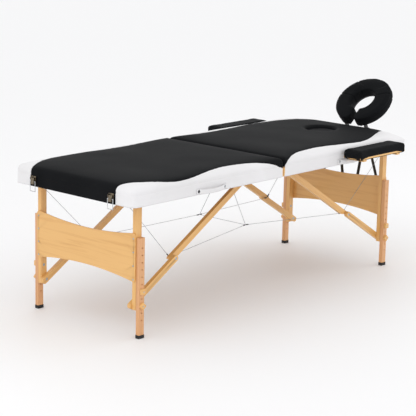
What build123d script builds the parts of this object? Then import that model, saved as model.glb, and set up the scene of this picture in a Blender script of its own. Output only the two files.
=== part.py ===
from build123d import *
from math import atan2, cos, degrees, hypot, radians, sin
import os

# Portable two-section massage table on folding wooden legs, in millimetres.
# X runs along the table: foot end at -X, head end at +X. Y runs across it: near side at -Y,
# far side at +Y. Z is up, and the feet stand on Z = 0. Everything is drawn with X = 0 at the
# centre fold; save() then moves the origin under the middle of the whole length.

# ---- Driving dimensions ----------------------------------------------------
table_length = 1860
table_width = 700
underside_height = 557
section_gap = 4

rail_height = 40
rail_thickness = 20
deck_thickness = 4
pad_thickness = 35
cover_thickness = 3
cover_corner_radius = 32
cover_edge_radius = 12

face_hole_x = 705
face_hole_length = 160
face_hole_width = 144
face_hole_ledge = 8
plug_clearance = 1
plug_sink = 3

leg_pivot_inset = 94
leg_pivot_drop = 22
leg_width = 30
leg_thickness = 20
lower_leg_y = 301
leg_side_clearance = 0.5
lower_leg_top = 417
upper_leg_foot = 20
adjuster_pitch = 30
adjuster_holes = 11
adjuster_top_margin = 41
upper_bolt_hole = 7
lower_bolt_hole = 9
bolt_diameter = 6
bolt_hole_diameter = 7
bolt_head_diameter = 12
bolt_head_height = 3
knob_size = 24
knob_thickness = 11
knob_clearance = 0.5
foot_height = 14
foot_floor = 6
foot_wall = 1.5

pin_diameter = 8
pin_clearance = 0.05
bracket_sheet = 2
bracket_width = 26
bracket_clearance = 0.4
pin_head_diameter = 12
pin_head_height = 2

brace_anchor_x = 100
brace_width = 26
brace_thickness = 18
brace_gap = 0.5
brace_tail = 26
knee_tail = 8
heel_cut_length = 30
knee_bolt_diameter = 6

panel_thickness = 6
panel_bottom = 232
panel_top = 437
panel_arch = 25
panel_corner_radius = 12
panel_half_width = 290
screw_diameter = 3
screw_length = 16
screw_head_diameter = 7
screw_head_height = 1
screws_per_leg = 4

hinge_y = 220
hinge_length = 66
hinge_drop = 4.5
hinge_barrel_diameter = 8
hinge_pin_diameter = 4
hinge_sheet = 1.5
hinge_leaf_height = 30
hinge_knuckle_gap = 0.5

handle_inner_x = 396
handle_span = 156
handle_height = 22
handle_sheet = 3
handle_tab = 20
handle_bulge = 12
washer_height = 1.5
handle_z = 572
handle_sag = 5

latch_y = 228
latch_plate_bottom = 567
latch_plate_top = 601
latch_pivot_z = 591
latch_width = 18
latch_lever_length = 24
bail_pivot_drop = 12
bail_length = 42
bail_wire = 3
latch_stand_off = 7
latch_sheet = 2
latch_ear_reach = 4

post_y = 86
post_diameter = 12
post_insertion = 76
post_z = 577
crossbar_x = 1000
crossbar_depth = 26
crossbar_height = 22
crossbar_length = 204
headrest_tilt = 40
headrest_centre = (1050, 736)
headrest_radius = 150
headrest_hole_length = 128
headrest_hole_width = 108
headrest_gap = 26
headrest_tip_radius = 30
headrest_edge_radius = 12
headrest_thickness = 58
platform_thickness = 8
platform_inset = 24
tilt_pivot = (1000, 612)
tilt_lug_y = 62
tilt_lug_thickness = 8
cam_lever_length = 46
cam_lever_thickness = 11
cam_lever_dip = 37

armrest_inner_x = 400
armrest_length = 355
armrest_width = 102
armrest_clearance = 12
armrest_top = 630
armrest_pad_thickness = 30
armrest_board_thickness = 8
armrest_board_inset = 5
dowel_diameter = 10
dowel_z = 589
dowel_inset = 48
dowel_clearance = 0.3

sling_x = 958
sling_half_width = 190
sling_top = 372
sling_height = 72
sling_cloth = 3
strap_width = 18
strap_inner_y = 42
strap_outer_y = 172

cable_diameter = 2
cable_node_y = 138
cable_node_z = 306
cable_corner = (875, 255)
cable_stand_off = 4

# ---- Places that follow from them ------------------------------------------
end_x = table_length / 2
side_y = table_width / 2
meet_x = section_gap / 2
rail_x = end_x - cover_thickness
rail_y = side_y - cover_thickness
rail_inner_x = rail_x - rail_thickness
rail_inner_y = rail_y - rail_thickness
deck_z = underside_height + rail_height
pad_z = deck_z + deck_thickness
top_z = pad_z + pad_thickness

pivot_x = end_x - leg_pivot_inset
pivot_z = underside_height + leg_pivot_drop
leg_outer_y = lower_leg_y + leg_thickness / 2
lower_leg_inner_y = lower_leg_y - leg_thickness / 2
upper_leg_y = lower_leg_y - leg_thickness - leg_side_clearance
upper_leg_inner_y = upper_leg_y - leg_thickness / 2
hole_z = [lower_leg_top - adjuster_top_margin - adjuster_pitch * i for i in range(adjuster_holes)]
upper_bolt_z = hole_z[upper_bolt_hole - 1]
lower_bolt_z = hole_z[lower_bolt_hole - 1]
upper_leg_bottom = lower_bolt_z - upper_leg_foot

lower_brace_y = upper_leg_inner_y - brace_gap - brace_thickness / 2
upper_brace_y = lower_brace_y - brace_thickness - brace_gap
# The knee lies where the brace is straight with the leg down and also flat with the leg up.
brace_drop = pivot_z - lower_bolt_z
brace_reach = pivot_x - brace_anchor_x
brace_angle = degrees(atan2(brace_drop, brace_reach))
brace_total = hypot(brace_drop, brace_reach)
upper_brace_length = (brace_total + brace_reach - brace_drop) / 2
lower_brace_length = brace_total - upper_brace_length
knee_x = pivot_x - lower_brace_length * cos(radians(brace_angle))
knee_z = lower_bolt_z + lower_brace_length * sin(radians(brace_angle))

hinge_z = underside_height - hinge_drop
latch_x = end_x + latch_stand_off
dowel_x = (armrest_inner_x + dowel_inset, armrest_inner_x + armrest_length - dowel_inset)
armrest_inner_y = side_y + armrest_clearance
# Halfway between the latch ears and the headrest's outermost rim, along X.
headrest_rim_x = (headrest_centre[0] + headrest_radius * cos(radians(headrest_tilt))
                  + headrest_thickness / 2 * sin(radians(headrest_tilt)))
middle_x = (headrest_rim_x - latch_x - latch_ear_reach) / 2


# ---- Small shapes used again and again ---------------------------------------
def block(xs, ys, zs, mode=Mode.ADD):
    """A box between two values on each axis."""
    middle = Vector(*[(low + high) / 2 for low, high in (xs, ys, zs)])
    with Locations(middle):
        Box(abs(xs[1] - xs[0]), abs(ys[1] - ys[0]), abs(zs[1] - zs[0]), mode=mode)


def rod_y(x, ys, z, diameter, mode=Mode.ADD):
    """A round bar along Y."""
    with Locations((x, (ys[0] + ys[1]) / 2, z)):
        Cylinder(diameter / 2, abs(ys[1] - ys[0]), rotation=(90, 0, 0), mode=mode)


def rod_x(xs, y, z, diameter, mode=Mode.ADD):
    """A round bar along X."""
    with Locations(((xs[0] + xs[1]) / 2, y, z)):
        Cylinder(diameter / 2, abs(xs[1] - xs[0]), rotation=(0, 90, 0), mode=mode)


def plank_y(start, finish, width, ys, tails, mode=Mode.ADD):
    """A plank in the XZ plane from start to finish with rounded ends, between two values of Y."""
    run = Vector(finish[0] - start[0], finish[1] - start[1])
    along = run.normalized()
    first = Vector(*start) - along * tails[0]
    last = Vector(*finish) + along * tails[1]
    middle = (first + last) / 2
    length = (last - first).length + width
    angle = degrees(atan2(along.Y, along.X))
    with BuildSketch(Plane((0, max(ys), 0), x_dir=(1, 0, 0), z_dir=(0, -1, 0))) as profile:
        with Locations((middle.X, middle.Y)):
            SlotOverall(length, width, rotation=angle)
    extrude(profile.sketch, amount=abs(ys[1] - ys[0]), mode=mode)


def save(part, name):
    """Name one finished piece and write it, with the origin under the middle of the whole object."""
    placed = Pos(-middle_x, 0, 0) * part
    placed.label = name
    export_step(placed, f"parts/{name}.step")


os.makedirs("parts", exist_ok=True)
sides = (-1, 1)
ends = {"foot": -1, "head": 1}
side_names = {-1: "near", 1: "far"}


# ---- Table sections ------------------------------------------------------------
def section_outline(end, inset):
    """Plan of one section, with round corners at its outer end only."""
    with BuildSketch() as outline:
        with Locations((end * (meet_x + end_x - inset) / 2, 0)):
            Rectangle(end_x - inset - meet_x, table_width - 2 * inset)
        corners = outline.vertices().filter_by(lambda v: abs(v.X) > end_x / 2)
        fillet(corners, cover_corner_radius - inset)
    return outline.sketch


for name, end in ends.items():
    inner = section_outline(end, cover_thickness)

    # Glued frame of four rails under the deck.
    with BuildPart() as frame:
        with BuildSketch(Plane.XY.offset(underside_height)):
            add(inner)
            with Locations((end * (meet_x + rail_thickness + rail_inner_x) / 2, 0)):
                Rectangle(rail_inner_x - meet_x - rail_thickness, 2 * rail_inner_y, mode=Mode.SUBTRACT)
        extrude(amount=rail_height)
        if end > 0:
            for side in sides:
                rod_x((rail_inner_x - 1, rail_x + 1), side * post_y, post_z, post_diameter + 0.6, Mode.SUBTRACT)
                for x in dowel_x:
                    ys = (side * (rail_inner_y - 1), side * (rail_y + 1))
                    rod_y(x, ys, dowel_z, dowel_diameter + 2 * dowel_clearance, Mode.SUBTRACT)
    save(frame.part, f"{name}_frame")

    with BuildPart() as deck:
        with BuildSketch(Plane.XY.offset(deck_z)):
            add(inner)
            if end > 0:
                with Locations((face_hole_x, 0)):
                    Ellipse(face_hole_length / 2 - face_hole_ledge, face_hole_width / 2 - face_hole_ledge,
                            mode=Mode.SUBTRACT)
        extrude(amount=deck_thickness)
    save(deck.part, f"{name}_deck")

    # Padded top whose cover comes down over the rails on the three outer sides.
    with BuildPart() as cushion:
        with BuildSketch(Plane.XY.offset(underside_height)):
            add(section_outline(end, 0))
        extrude(amount=top_z - underside_height)
        fillet(cushion.faces().sort_by(Axis.Z)[-1].edges(), cover_edge_radius)
        with BuildSketch(Plane.XY.offset(underside_height)):
            add(inner)
        extrude(amount=pad_z - underside_height, mode=Mode.SUBTRACT)
        if end > 0:
            with BuildSketch(Plane.XY.offset(pad_z)):
                with Locations((face_hole_x, 0)):
                    Ellipse(face_hole_length / 2, face_hole_width / 2)
            extrude(amount=pad_thickness, mode=Mode.SUBTRACT)
            for side in sides:
                xs = (rail_x - 1, end_x + 1)
                rod_x(xs, side * post_y, post_z, post_diameter + 0.6, Mode.SUBTRACT)
                for x in dowel_x:
                    ys = (side * (rail_y - 1), side * (side_y + 1))
                    rod_y(x, ys, dowel_z, dowel_diameter + 2 * dowel_clearance, Mode.SUBTRACT)
    save(cushion.part, f"{name}_cushion")

# Loose padded plug that closes the breathing hole.
with BuildPart() as face_plug:
    with BuildSketch(Plane.XY.offset(pad_z)):
        with Locations((face_hole_x, 0)):
            Ellipse(face_hole_length / 2 - plug_clearance, face_hole_width / 2 - plug_clearance)
    extrude(amount=pad_thickness - plug_sink)
    fillet(face_plug.faces().sort_by(Axis.Z)[-1].edges(), 6)
save(face_plug.part, "face_plug")


# ---- Pivot brackets and pins under the deck ----------------------------------------
def bracket(x, y, thickness):
    """A steel channel that straddles a wooden end of the given thickness."""
    half_gap = thickness / 2 + bracket_clearance
    xs = (x - bracket_width / 2, x + bracket_width / 2)
    block(xs, (y - half_gap - bracket_sheet, y + half_gap + bracket_sheet), (deck_z - bracket_sheet, deck_z))
    for turn in sides:
        ys = (y + turn * half_gap, y + turn * (half_gap + bracket_sheet))
        block(xs, ys, (pivot_z - bracket_width / 2 + 3, deck_z))
        hole = (ys[0] - turn, ys[1] + turn)
        rod_y(x, hole, pivot_z, pin_diameter, Mode.SUBTRACT)


def pivot_pin(x, y, thickness):
    """A headed pin through a bracket."""
    half_length = thickness / 2 + bracket_clearance + bracket_sheet
    rod_y(x, (y - half_length, y + half_length), pivot_z, pin_diameter)
    for turn in sides:
        ys = (y + turn * half_length, y + turn * (half_length + pin_head_height))
        rod_y(x, ys, pivot_z, pin_head_diameter)


for name, end in ends.items():
    pivots = [(end * pivot_x, side * upper_leg_y, leg_thickness) for side in sides]
    pivots += [(end * brace_anchor_x, side * upper_brace_y, brace_thickness) for side in sides]
    with BuildPart() as brackets:
        for pivot in pivots:
            bracket(*pivot)
    save(brackets.part, f"{name}_pivot_brackets")
    with BuildPart() as pins:
        for pivot in pivots:
            pivot_pin(*pivot)
    save(pins.part, f"{name}_pivot_pins")


# ---- Centre hinges -----------------------------------------------------------------
# Five knuckles to a hinge: the foot section has the outer two and the middle one.
knuckle = hinge_length / 5
for name, end in ends.items():
    held = (0, 2, 4) if end < 0 else (1, 3)
    with BuildPart() as leaves:
        for side in sides:
            low = side * hinge_y - hinge_length / 2
            xs = (end * (meet_x - hinge_sheet), end * meet_x)
            block(xs, (low, low + hinge_length), (underside_height, underside_height + hinge_leaf_height))
            for i in held:
                ys = (low + i * knuckle + hinge_knuckle_gap / 2, low + (i + 1) * knuckle - hinge_knuckle_gap / 2)
                rod_y(0, ys, hinge_z, hinge_barrel_diameter)
                block(xs, ys, (hinge_z, underside_height + 1))
            ys = (low - 1, low + hinge_length + 1)
            rod_y(0, ys, hinge_z, hinge_pin_diameter + 2 * pin_clearance, Mode.SUBTRACT)
    save(leaves.part, f"{name}_hinge_leaves")

with BuildPart() as hinge_pins:
    for side in sides:
        ys = (side * hinge_y - hinge_length / 2, side * hinge_y + hinge_length / 2)
        rod_y(0, ys, hinge_z, hinge_pin_diameter)
save(hinge_pins.part, "hinge_pins")


# ---- Carry handles on the near side ---------------------------------------------------
def handle(end):
    """A strap that bows outwards between two washers and screws."""
    first, last = end * handle_inner_x, end * (handle_inner_x + handle_span)
    tab = end * handle_tab
    wall, face, bow = -side_y, -side_y - handle_sheet, -side_y - handle_bulge
    middle = (first + last) / 2
    with BuildSketch(Plane.XY.offset(handle_z - handle_height / 2 - handle_sag)) as profile:
        with BuildLine():
            inner = ThreePointArc((first + tab, wall), (middle, bow), (last - tab, wall))
            outer = ThreePointArc((first + tab, face), (middle, bow - handle_sheet), (last - tab, face))
            Line(inner @ 0, outer @ 0)
            Line(inner @ 1, outer @ 1)
        make_face()
        with Locations((first + tab / 2, (wall + face) / 2), (last - tab / 2, (wall + face) / 2)):
            Rectangle(handle_tab, handle_sheet)
    extrude(profile.sketch, amount=handle_height + handle_sag)
    for x in (first + tab / 2, last - tab / 2):
        rod_y(x, (face, face - washer_height), handle_z, 2 * screw_head_diameter)
        rod_y(x, (face - washer_height, face - washer_height - 2), handle_z, screw_head_diameter)


for name, end in ends.items():
    with BuildPart() as strap:
        handle(end)
    save(strap.part, f"{name}_handle")


# ---- Legs ---------------------------------------------------------------------------
for name, end in ends.items():
    x = end * pivot_x
    face_x = end * (pivot_x + leg_width / 2)
    screw_step = (panel_top - panel_bottom - 3 * panel_corner_radius) / (screws_per_leg - 1)
    screw_z = [panel_bottom + panel_corner_radius + screw_step * i for i in range(screws_per_leg)]

    # Upper legs, round at the top, with a flush recess for the upper bolt's head.
    with BuildPart() as legs:
        for side in sides:
            ys = (side * upper_leg_inner_y, side * (upper_leg_inner_y + leg_thickness))
            block((x - leg_width / 2, x + leg_width / 2), ys, (upper_leg_bottom, pivot_z))
            rod_y(x, ys, pivot_z, leg_width)
            through = (ys[0] - side, ys[1] + side)
            rod_y(x, through, pivot_z, pin_diameter + 2 * pin_clearance, Mode.SUBTRACT)
            for z in (upper_bolt_z, lower_bolt_z):
                rod_y(x, through, z, bolt_diameter, Mode.SUBTRACT)
            recess = (ys[0] - side, ys[0] + side * (bolt_head_height + 0.5))
            rod_y(x, recess, upper_bolt_z, bolt_head_diameter + 1, Mode.SUBTRACT)
            for z in screw_z:
                xs = (face_x + end, face_x - end * (screw_length - panel_thickness))
                rod_x(xs, side * upper_leg_y, z, screw_diameter, Mode.SUBTRACT)
    save(legs.part, f"{name}_upper_legs")

    # Curved board that joins the two upper legs on their outer faces.
    with BuildPart() as panel:
        with BuildSketch(Plane((face_x, 0, 0), x_dir=(0, 1, 0), z_dir=(1, 0, 0))) as board:
            with BuildLine():
                top = ThreePointArc((-panel_half_width, panel_top), (0, panel_top - panel_arch),
                                    (panel_half_width, panel_top))
                bottom = ThreePointArc((-panel_half_width, panel_bottom), (0, panel_bottom + panel_arch),
                                       (panel_half_width, panel_bottom))
                Line(top @ 0, bottom @ 0)
                Line(top @ 1, bottom @ 1)
            make_face()
            fillet(board.vertices(), panel_corner_radius)
        extrude(amount=end * panel_thickness)
        for side in sides:
            for z in screw_z:
                xs = (face_x - end, face_x + end * (panel_thickness + 1))
                rod_x(xs, side * upper_leg_y, z, screw_diameter, Mode.SUBTRACT)
    save(panel.part, f"{name}_end_panel")

    outer_x = face_x + end * panel_thickness
    with BuildPart() as screws:
        for side in sides:
            for z in screw_z:
                rod_x((outer_x, outer_x - end * screw_length), side * upper_leg_y, z, screw_diameter)
                rod_x((outer_x, outer_x + end * screw_head_height), side * upper_leg_y, z, screw_head_diameter)
    save(screws.part, f"{name}_panel_screws")

    # Bolts: the upper one holds the lower leg, the lower one also carries the brace.
    with BuildPart() as bolts:
        for side in sides:
            tip = side * (leg_outer_y + knob_clearance + knob_thickness)
            for z, seat in ((upper_bolt_z, upper_leg_inner_y + 0.5),
                            (lower_bolt_z, lower_brace_y - brace_thickness / 2 + 0.5)):
                rod_y(x, (side * seat, tip), z, bolt_diameter)
                rod_y(x, (side * seat, side * (seat + bolt_head_height)), z, bolt_head_diameter)
    save(bolts.part, f"{name}_leg_bolts")

    for side in sides:
        corner = f"{name}_{side_names[side]}"
        ys = (side * lower_leg_inner_y, side * leg_outer_y)
        xs = (x - leg_width / 2, x + leg_width / 2)
        with BuildPart() as lower_leg:
            block(xs, ys, (foot_floor, lower_leg_top))
            fillet(lower_leg.edges().filter_by(Axis.Z), 3)
            for z in hole_z:
                rod_y(x, (ys[0] - side, ys[1] + side), z, bolt_hole_diameter, Mode.SUBTRACT)
        save(lower_leg.part, f"{corner}_lower_leg")

        # Rubber cup on the end of the leg.
        with BuildPart() as foot:
            block((xs[0] - foot_wall, xs[1] + foot_wall), (ys[0] - side * foot_wall, ys[1] + side * foot_wall),
                  (0, foot_height))
            fillet(foot.edges().filter_by(Axis.Z), 3 + foot_wall)
            with BuildSketch(Plane.XY.offset(foot_floor)):
                with Locations((x, (ys[0] + ys[1]) / 2)):
                    RectangleRounded(leg_width, leg_thickness, 3)
            extrude(amount=foot_height, mode=Mode.SUBTRACT)
        save(foot.part, f"{corner}_rubber_foot")

        for knob_name, z, turn in (("upper", upper_bolt_z, 0), ("lower", lower_bolt_z, 45)):
            near_y = leg_outer_y + knob_clearance
            with BuildPart() as knob:
                with BuildSketch(Plane((x, side * near_y, z), x_dir=(1, 0, 0), z_dir=(0, side, 0))):
                    RectangleRounded(knob_size, knob_size, 4, rotation=turn)
                extrude(amount=knob_thickness)
                outer_face = knob.faces().sort_by(Axis.Y)[-1 if side > 0 else 0]
                chamfer(outer_face.edges(), 2)
                hole = (side * (near_y - 1), side * (near_y + knob_thickness + 1))
                rod_y(x, hole, z, bolt_diameter + 2 * pin_clearance, Mode.SUBTRACT)
            save(knob.part, f"{corner}_{knob_name}_knob")


# ---- Two-piece braces with a knee ---------------------------------------------------------
for name, end in ends.items():
    ankle = (end * pivot_x, lower_bolt_z)
    knee = (end * knee_x, knee_z)
    anchor = (end * brace_anchor_x, pivot_z)
    half = brace_thickness / 2
    with BuildPart() as lower_braces:
        for side in sides:
            ys = (side * (lower_brace_y - half), side * (lower_brace_y + half))
            plank_y(ankle, knee, brace_width, ys, (brace_tail - brace_width / 2, 0))
            through = (ys[0] - side, ys[1] + side)
            rod_y(ankle[0], through, ankle[1], bolt_diameter + 2 * pin_clearance, Mode.SUBTRACT)
            recess = (ys[0] - side, ys[0] + side * (bolt_head_height + 1))
            rod_y(ankle[0], recess, ankle[1], bolt_head_diameter + 1, Mode.SUBTRACT)
            rod_y(knee[0], through, knee[1], knee_bolt_diameter, Mode.SUBTRACT)
            recess = (ys[1] - side * 2.5, ys[1] + side)
            rod_y(knee[0], recess, knee[1], bolt_head_diameter, Mode.SUBTRACT)
    save(lower_braces.part, f"{name}_lower_braces")

    # The lower corner at the knee is cut back, which clears the end board as it swings past.
    along = Vector(knee[0] - anchor[0], knee[1] - anchor[1]).normalized()
    below = Vector(-along.Y, along.X) * (-end)
    with BuildPart() as upper_braces:
        for side in sides:
            ys = (side * (upper_brace_y - half), side * (upper_brace_y + half))
            plank_y(anchor, knee, brace_width, ys, (0, knee_tail))
            through = (ys[0] - side, ys[1] + side)
            rod_y(anchor[0], through, anchor[1], pin_diameter + 2 * pin_clearance, Mode.SUBTRACT)
            toe = Vector(*knee) + along * (knee_tail + brace_width)
            heel = Vector(*knee) - along * heel_cut_length + below * brace_width / 2
            corners = [heel, toe + below * brace_width / 2, toe - below * brace_width / 2]
            with BuildSketch(Plane((0, max(ys), 0), x_dir=(1, 0, 0), z_dir=(0, -1, 0))) as corner_cut:
                with BuildLine():
                    Polyline([(corner.X, corner.Y) for corner in corners], close=True)
                make_face()
            extrude(corner_cut.sketch, amount=brace_thickness, mode=Mode.SUBTRACT)
    save(upper_braces.part, f"{name}_upper_braces")

    # The knee bolt stops at the face between the two planks.
    with BuildPart() as knee_bolts:
        for side in sides:
            outer = lower_brace_y + half
            rod_y(knee[0], (side * (lower_brace_y - half), side * (outer - 0.5)), knee[1], knee_bolt_diameter)
            rod_y(knee[0], (side * (outer - 2.5), side * (outer - 0.5)), knee[1], bolt_head_diameter)
    save(knee_bolts.part, f"{name}_knee_bolts")


# ---- Draw latches on the foot end, keepers on the head end -----------------------------------
ear_gap = latch_width / 2 + 1
bail_pivot_z = latch_pivot_z - bail_pivot_drop
bail_bottom_z = bail_pivot_z - bail_length
with BuildPart() as latch_bases:
    for side in sides:
        y = side * latch_y
        plate = (y - ear_gap - 4, y + ear_gap + 4)
        block((-end_x - latch_sheet, -end_x), plate, (latch_plate_bottom, latch_plate_top))
        for turn in sides:
            ys = (y + turn * ear_gap, y + turn * (ear_gap + latch_sheet))
            block((-latch_x - latch_ear_reach, -end_x), ys, (latch_pivot_z - 5, latch_pivot_z + 5))
        rod_y(-latch_x, (y - ear_gap - 3, y + ear_gap + 3), latch_pivot_z, 3)
save(latch_bases.part, "latch_bases")

with BuildPart() as latch_levers:
    for side in sides:
        ys = (side * latch_y - latch_width / 2, side * latch_y + latch_width / 2)
        block((-latch_x - 3, -latch_x + 3), ys, (latch_pivot_z - latch_lever_length, latch_pivot_z + 3))
        hole = (ys[0] - 1, ys[1] + 1)
        rod_y(-latch_x, hole, latch_pivot_z, 3 + 2 * pin_clearance, Mode.SUBTRACT)
        rod_y(-latch_x, hole, bail_pivot_z, bail_wire + 2 * pin_clearance, Mode.SUBTRACT)
save(latch_levers.part, "latch_levers")

with BuildPart() as latch_bails:
    for side in sides:
        reach = ear_gap + latch_sheet + 3
        ys = (side * latch_y - reach, side * latch_y + reach)
        for z in (bail_pivot_z, bail_bottom_z):
            rod_y(-latch_x, ys, z, bail_wire)
        for y in ys:
            with Locations((-latch_x, y, (bail_pivot_z + bail_bottom_z) / 2)):
                Cylinder(bail_wire / 2, bail_length)
            for z in (bail_pivot_z, bail_bottom_z):
                with Locations((-latch_x, y, z)):
                    Sphere(bail_wire / 2)
save(latch_bails.part, "latch_bails")

# With the table shut, the bail's lower wire lies just past the keeper's lip.
lip_z = 2 * hinge_z - bail_bottom_z - bail_wire / 2 - 1
with BuildPart() as latch_keepers:
    for side in sides:
        ys = (side * latch_y - 8, side * latch_y + 8)
        block((end_x, end_x + latch_sheet), ys, (lip_z - 3, lip_z + 24))
        block((end_x, latch_x + 6), ys, (lip_z - 3, lip_z))
        block((latch_x + 4, latch_x + 6), ys, (lip_z - 3, lip_z + 4))
save(latch_keepers.part, "latch_keepers")


# ---- Headrest ---------------------------------------------------------------------------------
# Welded frame: two posts that slide into the head rail, a crossbar and two ears.
bar_xs = (crossbar_x, crossbar_x + crossbar_depth)
with BuildPart() as headrest_frame:
    block(bar_xs, (-crossbar_length / 2, crossbar_length / 2),
          (post_z - crossbar_height / 2, post_z + crossbar_height / 2))
    fillet(headrest_frame.edges().filter_by(Axis.Y), 3)
    for side in sides:
        rod_x((end_x - post_insertion, crossbar_x + 1), side * post_y, post_z, post_diameter)
        ys = (side * (tilt_lug_y + 0.5), side * (tilt_lug_y + 0.5 + tilt_lug_thickness))
        plank_y((crossbar_x + 13, post_z), tilt_pivot, 22, ys, (-6, 0))
    rod_y(tilt_pivot[0], (-crossbar_length, crossbar_length), tilt_pivot[1], pin_diameter, Mode.SUBTRACT)
save(headrest_frame.part, "headrest_frame")

# The tilting parts are drawn in a plane along the cushion, its X axis up the slope.
slope = (cos(radians(headrest_tilt)), 0, sin(radians(headrest_tilt)))
normal = (-slope[2], 0, slope[0])
rest_plane = Plane((headrest_centre[0], 0, headrest_centre[1]), x_dir=slope, z_dir=normal)


def horseshoe(plane, outer, hole_length, hole_width, gap, thickness, tip_radius):
    """A plate shaped as a ring that is open towards the table, with round tips."""
    with BuildPart() as ring:
        with BuildSketch(plane):
            Circle(outer)
            Ellipse(hole_length / 2, hole_width / 2, mode=Mode.SUBTRACT)
            with Locations((-outer, 0)):
                Rectangle(2 * outer - hole_length / 2, gap, mode=Mode.SUBTRACT)
        extrude(amount=thickness)
        corners = ring.edges().filter_by(Axis((0, 0, 0), normal))
        fillet(corners.sort_by(lambda e: plane.to_local_coords(e.center()).X)[:2], tip_radius)
    return ring.part


with BuildPart() as headrest_cushion:
    add(horseshoe(rest_plane.offset(-headrest_thickness / 2), headrest_radius, headrest_hole_length,
                  headrest_hole_width, headrest_gap, headrest_thickness, headrest_tip_radius))
    faces = headrest_cushion.faces().filter_by(GeomType.PLANE)
    crown = faces.sort_by(lambda f: rest_plane.to_local_coords(f.center()).Z)[-1]
    fillet(crown.edges(), headrest_edge_radius)
save(headrest_cushion.part, "headrest_cushion")

plate_top = -headrest_thickness / 2
lug_plane_point = rest_plane.to_local_coords(Vector(tilt_pivot[0], 0, tilt_pivot[1]))
with BuildPart() as headrest_platform:
    add(horseshoe(rest_plane.offset(plate_top - platform_thickness), headrest_radius - platform_inset,
                  headrest_hole_length + platform_inset, headrest_hole_width + platform_inset,
                  headrest_gap + platform_inset, platform_thickness, 6))
    seat = rest_plane.offset(plate_top - platform_thickness / 2)
    foot_point = seat.from_local_coords(Vector(lug_plane_point.X + 8, 0, 0))
    for side in sides:
        ys = (side * (tilt_lug_y - tilt_lug_thickness), side * tilt_lug_y)
        plank_y(tilt_pivot, (foot_point.X, foot_point.Z), 20, ys, (0, -10))
    rod_y(tilt_pivot[0], (-crossbar_length, crossbar_length), tilt_pivot[1],
          pin_diameter + 2 * pin_clearance, Mode.SUBTRACT)
save(headrest_platform.part, "headrest_platform")

# Tilt pin with its cam lever on the near end; turning it locks the tilt.
pin_end = tilt_lug_y + 0.5 + tilt_lug_thickness
lever_ys = (-crossbar_length / 2 - 2 - cam_lever_thickness, -crossbar_length / 2 - 2)
lever_tip = (tilt_pivot[0] + cam_lever_length * cos(radians(cam_lever_dip)),
             tilt_pivot[1] - cam_lever_length * sin(radians(cam_lever_dip)))
with BuildPart() as cam_lever:
    rod_y(tilt_pivot[0], (lever_ys[0], pin_end + 3), tilt_pivot[1], pin_diameter - 2 * pin_clearance)
    rod_y(tilt_pivot[0], (pin_end + 0.5, pin_end + 3), tilt_pivot[1], pin_head_diameter)
    plank_y(tilt_pivot, lever_tip, 13, lever_ys, (0, 0))
save(cam_lever.part, "headrest_cam_lever")


# ---- Armrests on both sides of the head section ----------------------------------------------------
for side in sides:
    name = side_names[side]
    xs = (armrest_inner_x, armrest_inner_x + armrest_length)
    ys = (side * armrest_inner_y, side * (armrest_inner_y + armrest_width))
    board_top = armrest_top - armrest_pad_thickness
    with BuildPart() as pad:
        block(xs, ys, (board_top, armrest_top))
        fillet(pad.edges().filter_by(Axis.Z), 8)
        fillet(pad.faces().sort_by(Axis.Z)[-1].edges(), 5)
    save(pad.part, f"{name}_armrest_pad")

    # Board with two cleats and the dowels that plug into the side rail.
    inset = armrest_board_inset
    with BuildPart() as board:
        block((xs[0] + inset, xs[1] - inset), (ys[0] + side * inset, ys[1] - side * inset),
              (board_top - armrest_board_thickness, board_top))
        for x in dowel_x:
            block((x - 12, x + 12), (ys[0] + side * 10, ys[1] - side * 10),
                  (dowel_z - 9, board_top - armrest_board_thickness))
            rod_y(x, (side * (rail_inner_y + 1), ys[1] - side * 30), dowel_z, dowel_diameter)
    save(board.part, f"{name}_armrest_board")


# ---- Arm sling below the head end ---------------------------------------------------------------------
with BuildPart() as arm_sling:
    cloth_xs = (sling_x - sling_cloth / 2, sling_x + sling_cloth / 2)
    with BuildSketch(Plane((cloth_xs[0], 0, 0), x_dir=(0, 1, 0), z_dir=(1, 0, 0))):
        with Locations((0, sling_top - sling_height / 2)):
            RectangleRounded(2 * sling_half_width, sling_height, 24)
    extrude(amount=sling_cloth)
    for side in sides:
        for low_y, turn in ((strap_outer_y, 1), (strap_inner_y, -1)):
            high_y = post_y + turn * (post_diameter / 2 + 4)
            with BuildSketch(Plane((cloth_xs[0], 0, 0), x_dir=(0, 1, 0), z_dir=(1, 0, 0))):
                with BuildLine():
                    Polyline((side * (low_y - strap_width / 2), sling_top - 12),
                             (side * (low_y + strap_width / 2), sling_top - 12),
                             (side * (high_y + strap_width / 2), post_z),
                             (side * (high_y - strap_width / 2), post_z), close=True)
                make_face()
            extrude(amount=sling_cloth)
        rod_x((sling_x - 9, sling_x + 9), side * post_y, post_z, post_diameter + 6)
        rod_x((sling_x - 10, sling_x + 10), side * post_y, post_z, post_diameter, Mode.SUBTRACT)
save(arm_sling.part, "arm_sling")


# ---- Steel support cables -------------------------------------------------------------------------------
def wire(start, finish):
    """A straight run of cable."""
    first, last = Vector(*start), Vector(*finish)
    run = last - first
    with BuildSketch(Plane(first, z_dir=run)) as section:
        Circle(cable_diameter / 2)
    extrude(section.sketch, amount=run.length)


knee_y = upper_brace_y - brace_thickness / 2 - cable_stand_off
with BuildPart() as support_cables:
    for side in sides:
        middle = (0, side * cable_node_y, cable_node_z)
        wire((0, side * cable_stand_off, underside_height - 3), middle)
        for end in ends.values():
            knee_point = (end * knee_x, side * knee_y, knee_z)
            wire(knee_point, middle)
            corner = (end * cable_corner[0], side * cable_corner[1], underside_height + 2)
            wire(knee_point, corner)
    wire((0, -cable_node_y, cable_node_z), (0, cable_node_y, cable_node_z))
save(support_cables.part, "support_cables")
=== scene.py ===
"""Looks of a portable massage table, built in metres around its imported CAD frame."""
import math

import bmesh
import bpy
import numpy as np
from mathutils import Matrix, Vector, noise


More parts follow.
